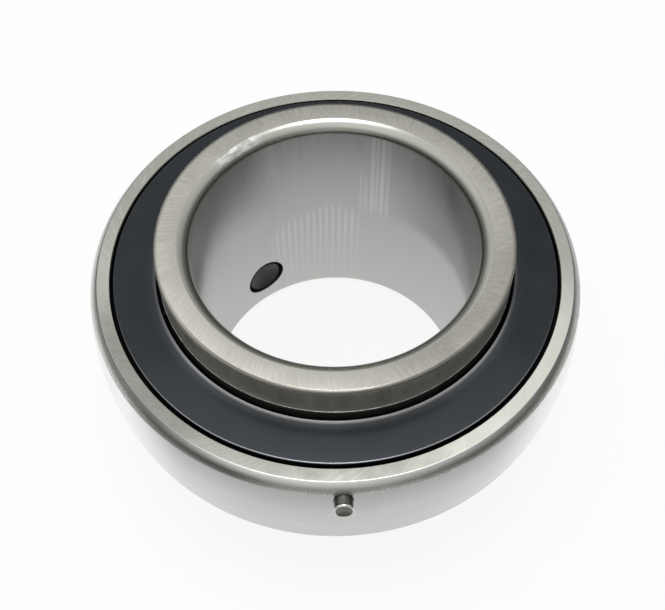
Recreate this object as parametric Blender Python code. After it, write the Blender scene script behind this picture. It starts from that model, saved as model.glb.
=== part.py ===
# Insert bearing: a ball bearing with a ball-shaped outside and a wide inner ring
# that clamps to its shaft with two set screws. Metres, +Z up.
# It stands on the wide end of its inner ring, with the short end and the sealed side up.
# The origin is on the shaft's axis, in the plane of the lower face.

import math

import bmesh
import bpy
from mathutils import Matrix, Vector

MM = 0.001

# Fits
SEAT_GAP = 0.3 * MM
BALL_PLAY = 0.2 * MM
POCKET_GAP = 0.3 * MM
SCREW_GAP = 0.15 * MM
RIVET_GAP = 0.15 * MM
PIN_GAP = 0.15 * MM
CUT_OVERRUN = 2.0 * MM

# Both rings. The inner ring's sides are measured from the plane of the balls.
BORE_DIAMETER = 50.8 * MM
OUTER_DIAMETER = 90.0 * MM
OUTER_WIDTH = 22.0 * MM
SHORT_SIDE = 19.0 * MM
LONG_SIDE = 32.6 * MM
INNER_WALL = 3.05 * MM
OUTER_WALL = 3.45 * MM

# Balls and raceways. The conformity and the shoulders' heights are shares of a ball's diameter.
BALL_COUNT = 10
RACEWAY_CONFORMITY = 0.52
INNER_SHOULDER = 0.232
OUTER_SHOULDER = 0.201
FIRST_BALL_ANGLE = math.radians(18.0)

# Edges of the rings
MOUTH_WIDTH = 1.6 * MM
MOUTH_DEPTH = 2.3 * MM
INNER_CORNER = 0.7 * MM
OUTER_EDGE_WIDTH = 1.45 * MM
OUTER_EDGE_DEPTH = 2.0 * MM
OUTER_EDGE_BULGE = 0.13 * MM

# Seals and flingers
SEAL_CLEARANCE = 0.3 * MM
SEAL_SHEET = 0.6 * MM
SEAL_RISE = 0.5 * MM
SEAL_LEDGE = 1.45 * MM
SEAL_GROOVE_DEPTH = 0.65 * MM
SEAL_GROOVE_FLANK = 0.3 * MM
LIP_REACH = 2.1 * MM
LIP_THICKNESS = 0.6 * MM
LIP_DROP = 0.9 * MM
FLINGER_SHEET = 0.8 * MM
FLINGER_BEND = 1.2 * MM
FLINGER_COLLAR = 0.95 * MM
FLINGER_PROUD = 0.2 * MM
FLINGER_RIM_GAP = 0.6 * MM
FLINGER_LIP_GAP = 0.3 * MM

# Cage of two pressed halves. Its strip is a share of a ball's diameter, and a rivet a share of the strip.
CAGE_SHEET = 0.8 * MM
CAGE_STRIP = 0.41
RIVET_SHANK = 0.385
RIVET_HEAD = 0.615
RIVET_HEAD_RISE = 0.17

# Set screws
SCREW_DIAMETER = 10.0 * MM
SCREW_THREAD_DEPTH = 0.54 * MM
SCREW_LENGTH = 9.5 * MM
SCREW_HEIGHT = 9.7 * MM
SCREW_RECESS = 0.15 * MM
SCREW_CHAMFER = 0.6 * MM
SCREW_POINT_DIAMETER = 6.8 * MM
SCREW_POINT_LENGTH = 0.9 * MM
SCREW_CUP_RIM = 0.3 * MM
SCREW_CUP_DEPTH = 1.6 * MM
SCREW_SOCKET = 5.0 * MM
SCREW_SOCKET_DEPTH = 4.6 * MM
SCREW_ANGLES = (math.radians(155.7), math.radians(35.7))

# Locking pin and lubrication holes of the outer ring
PIN_DIAMETER = 3.1 * MM
PIN_REACH = 2.1 * MM
PIN_SEAT_DEPTH = 2.0 * MM
PIN_TO_FACE = 3.4 * MM
PIN_RIM_DIAMETER = 3.5 * MM
PIN_RIM_BEVEL = 0.3 * MM
PIN_RIM_FLARE = 0.3 * MM
PIN_CUP_DEPTH = 0.9 * MM
PIN_ANGLE = math.radians(-60.0)
GREASE_HOLE_DIAMETER = 2.0 * MM
GREASE_HOLE_ANGLES = (math.radians(60.0), math.radians(180.0))

# Facets
RING_STEPS = 48
SEAL_STEPS = 32
BALL_STEPS = 12
RACEWAY_STEPS = 6
POCKET_STEPS = 6
SCREW_STEPS = 16
PIN_STEPS = 12
RIVET_STEPS = 6
HOLE_STEPS = 8

# The balls are the largest that fit between the rings' walls and, with the cage, the seal and
# the flinger beside them, within the outer ring's width: 12.7 mm on a 70 mm pitch circle.
BORE_RADIUS = BORE_DIAMETER / 2
SPHERE_RADIUS = OUTER_DIAMETER / 2
FACE_HEIGHT = OUTER_WIDTH / 2
RACEWAY_ROOM = (SPHERE_RADIUS - OUTER_WALL) - (BORE_RADIUS + INNER_WALL)
CAGE_ROOM = POCKET_GAP + CAGE_SHEET + SEAL_CLEARANCE
SEAL_ROOM = SEAT_GAP + SEAL_SHEET + SEAL_RISE + FLINGER_LIP_GAP
FLINGER_ROOM = FLINGER_COLLAR + FLINGER_SHEET - FLINGER_PROUD
WIDTH_ROOM = 2 * (FACE_HEIGHT - CAGE_ROOM - SEAL_ROOM - FLINGER_ROOM)
BALL_DIAMETER = min(RACEWAY_ROOM - 2 * BALL_PLAY, WIDTH_ROOM)
BALL_RADIUS = BALL_DIAMETER / 2
PITCH_RADIUS = BORE_RADIUS + INNER_WALL + RACEWAY_ROOM / 2

# Raceways and the cage between them
RACEWAY_RADIUS = BALL_DIAMETER * RACEWAY_CONFORMITY
INNER_RACEWAY = PITCH_RADIUS - BALL_RADIUS - BALL_PLAY
OUTER_RACEWAY = PITCH_RADIUS + BALL_RADIUS + BALL_PLAY
INNER_SHOULDER_HEIGHT = BALL_DIAMETER * INNER_SHOULDER
OUTER_SHOULDER_HEIGHT = BALL_DIAMETER * OUTER_SHOULDER
INNER_LAND = INNER_RACEWAY + INNER_SHOULDER_HEIGHT
OUTER_LAND = OUTER_RACEWAY - OUTER_SHOULDER_HEIGHT
POCKET_RADIUS = BALL_RADIUS + POCKET_GAP
CAGE_TOP = POCKET_RADIUS + CAGE_SHEET
CAGE_WIDTH = BALL_DIAMETER * CAGE_STRIP
CAGE_INNER = PITCH_RADIUS - CAGE_WIDTH / 2
CAGE_OUTER = PITCH_RADIUS + CAGE_WIDTH / 2
RIVET_RADIUS = CAGE_WIDTH * RIVET_SHANK / 2
RIVET_HEAD_RADIUS = CAGE_WIDTH * RIVET_HEAD / 2

# A web runs straight from one pocket's foot to the next one's, so its middle lies inside the pitch circle.
WEB_LOW = SEAT_GAP / 2
WEB_HIGH = WEB_LOW + CAGE_SHEET
FOOT_ANGLE = math.asin(math.sqrt(CAGE_TOP ** 2 - WEB_HIGH ** 2) / PITCH_RADIUS)
WEB_RADIUS = PITCH_RADIUS * math.cos(math.pi / BALL_COUNT - FOOT_ANGLE)

# The outer ring's edges, the seals and the flingers
EDGE_HEIGHT = FACE_HEIGHT - OUTER_EDGE_DEPTH
EDGE_RADIUS = math.sqrt(SPHERE_RADIUS ** 2 - EDGE_HEIGHT ** 2)
FACE_OUTER = EDGE_RADIUS - OUTER_EDGE_WIDTH
FACE_INNER = OUTER_LAND + SEAL_LEDGE
SEAL_SEAT = CAGE_TOP + SEAL_CLEARANCE
SEAL_BASE = SEAL_SEAT + SEAT_GAP
SEAL_TOP = SEAL_BASE + SEAL_SHEET
SEAL_GROOVE = FACE_INNER + SEAL_GROOVE_DEPTH
SEAL_OUTER = SEAL_GROOVE - SEAT_GAP
LIP_INNER = INNER_LAND + SEAT_GAP
LIP_OUTER = LIP_INNER + LIP_REACH
SEAL_INNER = LIP_OUTER + SEAT_GAP
FLINGER_INNER = INNER_LAND + SEAT_GAP
FLINGER_OUTER = FACE_INNER - FLINGER_RIM_GAP
FLINGER_TOP = FACE_HEIGHT + FLINGER_PROUD
FLINGER_FOOT = SEAL_TOP + SEAL_RISE + FLINGER_LIP_GAP

# The two holes of the outer ring: the pin's on its outside, the grease holes in the middle of a land
OUTER_RACEWAY_EDGE = math.sqrt(RACEWAY_RADIUS ** 2 - (RACEWAY_RADIUS - OUTER_SHOULDER_HEIGHT) ** 2)
GREASE_HOLE_HEIGHT = (OUTER_RACEWAY_EDGE + SEAL_SEAT) / 2
PIN_HEIGHT = FACE_HEIGHT - PIN_TO_FACE
PIN_LEAN = math.asin(PIN_HEIGHT / SPHERE_RADIUS)

# The threads are left out, so a screw hole is as wide as its thread's inside.
SCREW_HOLE_RADIUS = SCREW_DIAMETER / 2 - SCREW_THREAD_DEPTH
SCREW_RADIUS = SCREW_HOLE_RADIUS - SCREW_GAP
SCREW_TIP = BORE_RADIUS + SCREW_RECESS


def ellipse_arc(centre, radii, start, end, steps):
    """Points of an arc in the profile's plane, as (radius, height), with both ends."""
    points = []
    for step in range(steps + 1):
        angle = math.radians(start + (end - start) * step / steps)
        points.append((centre[0] + radii[0] * math.cos(angle), centre[1] + radii[1] * math.sin(angle)))
    return points


def bulged_edge(start, end, bulge):
    """The middle and the end of a shallow arc that bulges outwards on the way up to a face."""
    along, rise = end[0] - start[0], end[1] - start[1]
    share = bulge / math.hypot(along, rise)
    middle = ((start[0] + end[0]) / 2 + rise * share, (start[1] + end[1]) / 2 - along * share)
    return [middle, end]


def mirrored_loop(half):
    """Closes a profile that starts and ends in the plane of the balls with its mirror image."""
    return half + [(radius, -height) for radius, height in reversed(half[1:-1])]


def turned_mesh(name, profile, steps, closed=True):
    """Turns a profile of (radius, height) points about Z. An open one starts and ends on the axis."""
    shape = bmesh.new()
    points = [shape.verts.new((radius, 0.0, height)) for radius, height in profile]
    pairs = list(zip(points, points[1:]))
    if closed:
        pairs.append((points[-1], points[0]))
    edges = [shape.edges.new(pair) for pair in pairs]
    bmesh.ops.spin(
        shape, geom=points + edges, axis=(0.0, 0.0, 1.0), cent=(0.0, 0.0, 0.0),
        angle=math.tau, steps=steps, use_merge=True,
    )
    return finished_mesh(name, shape)


def finished_mesh(name, shape):
    """Merges doubles, faces everything outwards and shades round faces smooth."""
    bmesh.ops.remove_doubles(shape, verts=shape.verts, dist=0.001 * MM)
    bmesh.ops.recalc_face_normals(shape, faces=shape.faces)
    mesh = bpy.data.meshes.new(name)
    shape.to_mesh(mesh)
    shape.free()
    mesh.shade_smooth()
    mesh.set_sharp_from_angle(angle=math.radians(32.0))
    return mesh


def add_material(name, colour, metallic, roughness):
    material = bpy.data.materials.new(name)
    material.use_nodes = True
    shader = material.node_tree.nodes["Principled BSDF"]
    shader.inputs["Base Color"].default_value = (*colour, 1.0)
    shader.inputs["Metallic"].default_value = metallic
    shader.inputs["Roughness"].default_value = roughness
    material.diffuse_color = (*colour, 1.0)
    return material


def add_object(name, mesh, material, parent, place=None):
    piece = bpy.data.objects.new(name, mesh)
    bpy.context.collection.objects.link(piece)
    if not mesh.materials:
        mesh.materials.append(material)
    piece.parent = parent
    if place is not None:
        piece.matrix_basis = place
    return piece


def add_axis(name, parent=None, height=0.0):
    """An empty on the shaft's axis, which carries the pieces that turn together."""
    axis = bpy.data.objects.new(name, None)
    bpy.context.collection.objects.link(axis)
    axis.empty_display_type = "ARROWS"
    axis.empty_display_size = 10 * MM
    axis.location.z = height
    axis.parent = parent
    return axis


def radial_place(angle, radius, height):
    """A frame at a place round the axis, with its own Z pointing outwards."""
    turn = Matrix.Rotation(angle, 4, "Z") @ Matrix.Rotation(math.radians(90.0), 4, "Y")
    spot = Vector((radius * math.cos(angle), radius * math.sin(angle), height))
    return Matrix.Translation(spot) @ turn


def pin_place():
    """A frame on the ball-shaped outside, square to it, with its Z pointing outwards."""
    lean = Matrix.Rotation(math.radians(90.0) - PIN_LEAN, 4, "Y")
    out = Matrix.Translation((0.0, 0.0, SPHERE_RADIUS))
    return Matrix.Rotation(PIN_ANGLE, 4, "Z") @ lean @ out


def prism(shape, radius, low, high, steps, place=None):
    """Adds a closed upright prism to a bmesh, at a place."""
    length = high - low
    middle = Matrix.Translation((0.0, 0.0, (low + high) / 2))
    bmesh.ops.create_cone(
        shape, cap_ends=True, segments=steps, radius1=radius, radius2=radius, depth=length,
        matrix=middle if place is None else place @ middle,
    )


def add_cut(piece, name, shape):
    """Cuts a bmesh of closed prisms out of a piece, in the piece's own frame."""
    mesh = bpy.data.meshes.new(name)
    bmesh.ops.recalc_face_normals(shape, faces=shape.faces)
    shape.to_mesh(mesh)
    shape.free()
    cutter = bpy.data.objects.new(name, mesh)
    bpy.context.collection.objects.link(cutter)
    cutter.parent = piece.parent
    cutter.matrix_basis = piece.matrix_basis
    cutter.hide_render = True
    cutter.display_type = "WIRE"
    cut = piece.modifiers.new(name, "BOOLEAN")
    cut.operation = "DIFFERENCE"
    cut.solver = "EXACT"
    cut.object = cutter


def raceway_arc(centre, shoulder, bottom_angle):
    """The groove's arc from the edge of its upper shoulder to its bottom, which faces the bottom angle."""
    opening = math.degrees(math.acos((RACEWAY_RADIUS - shoulder) / RACEWAY_RADIUS))
    edge_angle = opening if bottom_angle == 0.0 else bottom_angle - opening
    radii = (RACEWAY_RADIUS, RACEWAY_RADIUS)
    return ellipse_arc((centre, 0.0), radii, edge_angle, bottom_angle, RACEWAY_STEPS // 2)


def outer_ring_profile():
    """Half of the outer ring's section, from the ball-shaped outside over the face to the raceway."""
    lean = math.degrees(math.asin(EDGE_HEIGHT / SPHERE_RADIUS))
    outside = ellipse_arc((0.0, 0.0), (SPHERE_RADIUS, SPHERE_RADIUS), 0.0, lean, 2)
    edge = bulged_edge((EDGE_RADIUS, EDGE_HEIGHT), (FACE_OUTER, FACE_HEIGHT), OUTER_EDGE_BULGE)
    flank = SEAL_TOP + SEAT_GAP
    inside = [
        (FACE_INNER, FACE_HEIGHT),
        (FACE_INNER, flank + SEAL_GROOVE_FLANK),
        (SEAL_GROOVE, flank),
        (SEAL_GROOVE, SEAL_SEAT),
        (OUTER_LAND, SEAL_SEAT),
    ]
    raceway = raceway_arc(OUTER_RACEWAY - RACEWAY_RADIUS, OUTER_SHOULDER_HEIGHT, 0.0)
    return mirrored_loop(outside + edge + inside + raceway)


def inner_ring_profile():
    """The inner ring's whole section, down its outer side and up its bore."""
    corner, mouth = (INNER_CORNER, INNER_CORNER), (MOUTH_WIDTH, MOUTH_DEPTH)
    corner_radius = INNER_LAND - INNER_CORNER
    mouth_radius = BORE_RADIUS + MOUTH_WIDTH
    upper_half = raceway_arc(INNER_RACEWAY + RACEWAY_RADIUS, INNER_SHOULDER_HEIGHT, 180.0)
    lower_half = [(radius, -height) for radius, height in reversed(upper_half[:-1])]
    return (
        ellipse_arc((corner_radius, SHORT_SIDE - INNER_CORNER), corner, 90.0, 0.0, 2)
        + upper_half
        + lower_half
        + ellipse_arc((corner_radius, INNER_CORNER - LONG_SIDE), corner, 0.0, -90.0, 2)
        + ellipse_arc((mouth_radius, MOUTH_DEPTH - LONG_SIDE), mouth, -90.0, -180.0, 2)
        + ellipse_arc((mouth_radius, SHORT_SIDE - MOUTH_DEPTH), mouth, 180.0, 90.0, 2)
    )


def seal_plate_profile():
    """A steel washer with a flat rim in the outer ring's groove and a slightly coned inside."""
    bend = (SEAL_OUTER + SEAL_INNER) / 2
    return [
        (SEAL_OUTER, SEAL_BASE),
        (SEAL_OUTER, SEAL_TOP),
        (bend, SEAL_TOP),
        (SEAL_INNER, SEAL_TOP + SEAL_RISE),
        (SEAL_INNER, SEAL_BASE + SEAL_RISE),
        (bend, SEAL_BASE),
    ]


def seal_lip_profile():
    """The rubber lip inside the plate, which leans down to the inner ring."""
    top = SEAL_TOP + SEAL_RISE
    tip = top - LIP_DROP
    return [
        (LIP_OUTER, top),
        (LIP_OUTER, SEAL_BASE + SEAL_RISE),
        (LIP_INNER + LIP_THICKNESS, tip - LIP_THICKNESS),
        (LIP_INNER, tip - LIP_THICKNESS / 2),
        (LIP_INNER, tip),
    ]


def flinger_profile():
    """A pressed disc whose inner edge turns down to a collar on the inner ring."""
    under = FLINGER_TOP - FLINGER_SHEET
    collar = FLINGER_INNER + FLINGER_SHEET
    bend_centre = (FLINGER_INNER + FLINGER_BEND, FLINGER_TOP - FLINGER_BEND)
    return [
        (FLINGER_OUTER, FLINGER_TOP),
        (FLINGER_OUTER, under),
        (collar, under),
        (collar, FLINGER_FOOT),
        (FLINGER_INNER, FLINGER_FOOT),
    ] + ellipse_arc(bend_centre, (FLINGER_BEND, FLINGER_BEND), 180.0, 90.0, 2)


def build_outer_ring(centre, steel):
    mesh = turned_mesh("outer_ring", outer_ring_profile(), RING_STEPS)
    ring = add_object("outer_ring", mesh, steel, centre)
    seat = bmesh.new()
    prism(
        seat, PIN_DIAMETER / 2 + PIN_GAP, -PIN_SEAT_DEPTH - SEAT_GAP, CUT_OVERRUN, PIN_STEPS, pin_place(),
    )
    add_cut(ring, "pin_seat_cut", seat)
    holes = bmesh.new()
    for angle in GREASE_HOLE_ANGLES:
        prism(
            holes, GREASE_HOLE_DIAMETER / 2, OUTER_LAND - CUT_OVERRUN, SPHERE_RADIUS + CUT_OVERRUN,
            HOLE_STEPS, radial_place(angle, 0.0, -GREASE_HOLE_HEIGHT),
        )
    add_cut(ring, "grease_hole_cut", holes)


def build_locking_pin(centre, steel):
    """A short pin set square in the ball-shaped outside. Its end is cupped and spread to a bevelled rim."""
    radius = PIN_DIAMETER / 2
    rim_radius = PIN_RIM_DIAMETER / 2
    profile = [
        (0.0, PIN_REACH - PIN_CUP_DEPTH),
        (rim_radius - PIN_RIM_BEVEL, PIN_REACH),
        (rim_radius, PIN_REACH - PIN_RIM_BEVEL),
        (radius, PIN_REACH - PIN_RIM_BEVEL - PIN_RIM_FLARE),
        (radius, -PIN_SEAT_DEPTH),
        (0.0, -PIN_SEAT_DEPTH),
    ]
    mesh = turned_mesh("locking_pin", profile, PIN_STEPS, closed=False)
    add_object("locking_pin", mesh, steel, centre, pin_place())


def build_inner_ring(axis, steel):
    mesh = turned_mesh("inner_ring", inner_ring_profile(), RING_STEPS)
    ring = add_object("inner_ring", mesh, steel, axis)
    holes = bmesh.new()
    for angle in SCREW_ANGLES:
        prism(
            holes, SCREW_HOLE_RADIUS, BORE_RADIUS - CUT_OVERRUN, INNER_LAND + CUT_OVERRUN, SCREW_STEPS,
            radial_place(angle, 0.0, SCREW_HEIGHT - LONG_SIDE),
        )
    add_cut(ring, "screw_hole_cut", holes)


def build_set_screws(axis, steel):
    """Headless screws with a hexagonal socket outside and a cupped point towards the shaft."""
    point_radius = SCREW_POINT_DIAMETER / 2
    profile = [
        (0.0, SCREW_LENGTH),
        (SCREW_RADIUS - SCREW_CHAMFER, SCREW_LENGTH),
        (SCREW_RADIUS, SCREW_LENGTH - SCREW_CHAMFER),
        (SCREW_RADIUS, SCREW_POINT_LENGTH),
        (point_radius, 0.0),
        (point_radius - SCREW_CUP_RIM, 0.0),
        (0.0, SCREW_CUP_DEPTH),
    ]
    mesh = turned_mesh("set_screw", profile, SCREW_STEPS, closed=False)
    for number, angle in enumerate(SCREW_ANGLES, start=1):
        place = radial_place(angle, SCREW_TIP, SCREW_HEIGHT - LONG_SIDE)
        screw = add_object(f"set_screw_{number}", mesh, steel, axis, place)
        socket = bmesh.new()
        corner = SCREW_SOCKET / math.sqrt(3.0)
        prism(socket, corner, SCREW_LENGTH - SCREW_SOCKET_DEPTH, SCREW_LENGTH + CUT_OVERRUN, 6)
        add_cut(screw, f"socket_cut_{number}", socket)


def build_balls(axis, steel):
    shape = bmesh.new()
    bmesh.ops.create_uvsphere(
        shape, u_segments=BALL_STEPS, v_segments=BALL_STEPS * 2 // 3, radius=BALL_RADIUS,
    )
    mesh = finished_mesh("ball", shape)
    for number in range(BALL_COUNT):
        angle = FIRST_BALL_ANGLE + math.tau * number / BALL_COUNT
        place = Matrix.Rotation(angle, 4, "Z") @ Matrix.Translation((PITCH_RADIUS, 0.0, 0.0))
        add_object(f"ball_{number + 1:02d}", mesh, steel, axis, place)


def cage_stations():
    """Across one ball, the cage's underside and top side as (along the pitch, height) pairs."""
    foot_low = math.degrees(math.asin(WEB_LOW / POCKET_RADIUS))
    foot_high = math.degrees(math.asin(WEB_HIGH / CAGE_TOP))
    low_radii = (POCKET_RADIUS, POCKET_RADIUS)
    high_radii = (CAGE_TOP, CAGE_TOP)
    underside = ellipse_arc((0.0, 0.0), low_radii, 180.0 - foot_low, foot_low, POCKET_STEPS)
    top_side = ellipse_arc((0.0, 0.0), high_radii, 180.0 - foot_high, foot_high, POCKET_STEPS)
    return zip(underside, top_side)


def cage_half_mesh():
    """One pressed half: a strip that arches over every ball, with flat webs between the balls."""
    shape = bmesh.new()
    loops = []
    for number in range(BALL_COUNT):
        angle = FIRST_BALL_ANGLE + math.tau * number / BALL_COUNT
        turn = Matrix.Rotation(angle, 3, "Z")
        for low, high in cage_stations():
            corners = ((CAGE_INNER, low), (CAGE_OUTER, low), (CAGE_OUTER, high), (CAGE_INNER, high))
            loop = []
            for radius, (along, height) in corners:
                across = math.sqrt(radius ** 2 - along ** 2)
                loop.append(shape.verts.new(turn @ Vector((across, along, height))))
            loops.append(loop)
    for loop, following in zip(loops, loops[1:] + loops[:1]):
        for corner in range(4):
            after = (corner + 1) % 4
            shape.faces.new((loop[corner], loop[after], following[after], following[corner]))
    return finished_mesh("cage_half", shape)


def build_cage(axis, steel, rivet_steel):
    """Two like halves, mirror images of each other, with a rivet through each pair of webs."""
    mesh = cage_half_mesh()
    web_angles = [FIRST_BALL_ANGLE + math.tau * (number + 0.5) / BALL_COUNT for number in range(BALL_COUNT)]
    web_places = [
        Matrix.Rotation(angle, 4, "Z") @ Matrix.Translation((WEB_RADIUS, 0.0, 0.0)) for angle in web_angles
    ]
    for name, flip in (("cage_upper", 0.0), ("cage_lower", math.pi)):
        # Turned over about a line through a ball, the half's own balls and webs meet the other's.
        over = Matrix.Rotation(flip, 4, Vector((math.cos(FIRST_BALL_ANGLE), math.sin(FIRST_BALL_ANGLE), 0.0)))
        half = add_object(name, mesh, steel, axis, over)
        holes = bmesh.new()
        for place in web_places:
            prism(holes, RIVET_RADIUS + RIVET_GAP, -CUT_OVERRUN, CUT_OVERRUN, RIVET_STEPS, place)
        add_cut(half, f"{name}_rivet_cut", holes)
    head_base = WEB_HIGH + RIVET_GAP
    head_top = head_base + CAGE_WIDTH * RIVET_HEAD_RISE
    rivet = turned_mesh("cage_rivet", [
        (0.0, head_top),
        (RIVET_HEAD_RADIUS, head_base),
        (RIVET_RADIUS, head_base),
        (RIVET_RADIUS, -head_base),
        (RIVET_HEAD_RADIUS, -head_base),
        (0.0, -head_top),
    ], RIVET_STEPS, closed=False)
    for number, place in enumerate(web_places, start=1):
        add_object(f"cage_rivet_{number:02d}", rivet, rivet_steel, axis, place)


def build_side(centre, inner_axis, side, flip, materials):
    """The seal and the flinger of one side. The lower side is the upper one turned over."""
    over = Matrix.Rotation(flip, 4, "X")
    pieces = (
        ("seal_plate", seal_plate_profile(), SEAL_STEPS, "zinc_steel", centre),
        ("seal_lip", seal_lip_profile(), SEAL_STEPS, "rubber", centre),
        ("flinger", flinger_profile(), RING_STEPS, "black_steel", inner_axis),
    )
    for name, profile, steps, finish, parent in pieces:
        mesh = turned_mesh(f"{name}_{side}", profile, steps)
        add_object(f"{name}_{side}", mesh, materials[finish], parent, over)


def main():
    for piece in list(bpy.data.objects):
        bpy.data.objects.remove(piece, do_unlink=True)
    materials = {
        "ring_steel": add_material("ring_steel", (0.56, 0.55, 0.53), 1.0, 0.30),
        "ball_steel": add_material("ball_steel", (0.72, 0.72, 0.73), 1.0, 0.08),
        "cage_steel": add_material("cage_steel", (0.48, 0.47, 0.45), 1.0, 0.38),
        "rivet_steel": add_material("rivet_steel", (0.50, 0.49, 0.47), 1.0, 0.36),
        "zinc_steel": add_material("zinc_steel", (0.50, 0.51, 0.52), 1.0, 0.34),
        "black_steel": add_material("black_steel", (0.035, 0.042, 0.050), 0.6, 0.42),
        "screw_steel": add_material("screw_steel", (0.030, 0.029, 0.028), 0.7, 0.40),
        "pin_steel": add_material("pin_steel", (0.40, 0.40, 0.40), 1.0, 0.35),
        "rubber": add_material("rubber", (0.018, 0.018, 0.019), 0.0, 0.70),
    }
    centre = add_axis("bearing_centre", height=LONG_SIDE)
    inner_axis = add_axis("inner_ring_axis", centre)
    cage_axis = add_axis("cage_axis", centre)

    build_outer_ring(centre, materials["ring_steel"])
    build_locking_pin(centre, materials["pin_steel"])
    build_inner_ring(inner_axis, materials["ring_steel"])
    build_set_screws(inner_axis, materials["screw_steel"])
    build_balls(cage_axis, materials["ball_steel"])
    build_cage(cage_axis, materials["cage_steel"], materials["rivet_steel"])
    build_side(centre, inner_axis, "upper", 0.0, materials)
    build_side(centre, inner_axis, "lower", math.pi, materials)


main()
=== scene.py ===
import math

import bmesh
import bpy
from mathutils import Matrix, Vector


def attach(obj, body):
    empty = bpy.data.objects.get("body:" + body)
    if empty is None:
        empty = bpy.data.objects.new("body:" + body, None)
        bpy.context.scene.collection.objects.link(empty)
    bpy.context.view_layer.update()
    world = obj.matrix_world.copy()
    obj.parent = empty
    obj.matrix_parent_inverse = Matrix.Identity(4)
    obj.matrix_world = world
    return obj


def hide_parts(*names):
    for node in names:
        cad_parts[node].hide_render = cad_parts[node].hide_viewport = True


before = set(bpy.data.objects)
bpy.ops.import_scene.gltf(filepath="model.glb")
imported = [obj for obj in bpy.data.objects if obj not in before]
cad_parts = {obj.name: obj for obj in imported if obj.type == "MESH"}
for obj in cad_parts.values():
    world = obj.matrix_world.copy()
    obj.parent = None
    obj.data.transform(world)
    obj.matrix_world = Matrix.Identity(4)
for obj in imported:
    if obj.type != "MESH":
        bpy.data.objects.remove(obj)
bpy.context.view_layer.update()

mm = 0.001
quarterTurn = math.radians(90.0)
mergeDistance = 0.002 * mm

# Sizes that several pieces share. Heights are counted from the plane of the balls.
bearing = {
    "ballPlane": 32.6 * mm,  # height of the balls' centres over the floor
    "boreRadius": 25.4 * mm,
    "innerLand": 31.4 * mm,  # the inner ring's outside
    "outerLand": 39.0 * mm,  # the outer ring's inside, beside the raceway
    "sphereRadius": 45.0 * mm,
    "ballRadius": 6.35 * mm,
    "ballPlay": 0.2 * mm,
    "pitchRadius": 35.0 * mm,
    "ballCount": 10,
    "firstBallAngle": math.radians(18.0),
    "racewayRadius": 6.6 * mm,
    "pinAngle": math.radians(-60.0),
    "pinSide": math.radians(30.0),  # how far the pin stands from the photograph's front
}


# Profiles, as points of radius and height

def ellipseArc(centre, radii, start, end, steps):
    points = []
    for step in range(steps + 1):
        angle = math.radians(start + (end - start) * step / steps)
        points.append((centre[0] + radii[0] * math.cos(angle), centre[1] + radii[1] * math.sin(angle)))
    return points


def curvePoints(controls, steps):
    # a smooth curve from the first to the last of its control points
    points = []
    for step in range(steps + 1):
        level = controls
        while len(level) > 1:
            level = [first.lerp(second, step / steps) for first, second in zip(level, level[1:])]
        points.append(tuple(level[0]))
    return points


def filletCorners(points, radius, steps):
    # rounds each corner of a closed profile by the same radius, as far as its sides allow
    rounded = []
    for i, corner in enumerate(points):
        here = Vector(corner)
        back = Vector(points[i - 1]) - here
        ahead = Vector(points[(i + 1) % len(points)]) - here
        reach = min(radius / math.tan(back.angle(ahead) / 2), back.length * 0.45, ahead.length * 0.45)
        ends = [here + side.normalized() * reach for side in (back, ahead)]
        rounded += curvePoints([ends[0], here, ends[1]], steps)
    return rounded


def roundCorner(before, corner, after, radius, steps):
    # rounds one corner of a profile by its own radius
    here = Vector(corner)
    back = (Vector(before) - here).normalized()
    ahead = (Vector(after) - here).normalized()
    reach = min(radius / math.tan(back.angle(ahead) / 2), (Vector(before) - here).length * 0.9)
    return curvePoints([here + back * reach, here, here + ahead * reach], steps)


def bulgedEdge(start, end, bulge, steps):
    # a shallow arc that bulges outwards on its way up from start to end, without its start
    along, rise = end[0] - start[0], end[1] - start[1]
    length = math.hypot(along, rise)
    points = []
    for step in range(1, steps + 1):
        share = step / steps
        out = bulge * 4 * share * (1 - share) / length
        points.append((start[0] + along * share + rise * out, start[1] + rise * share - along * out))
    return points


def mirrorHeights(points):
    return [(radius, -height) for radius, height in reversed(points)]


# Node trees

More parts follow.
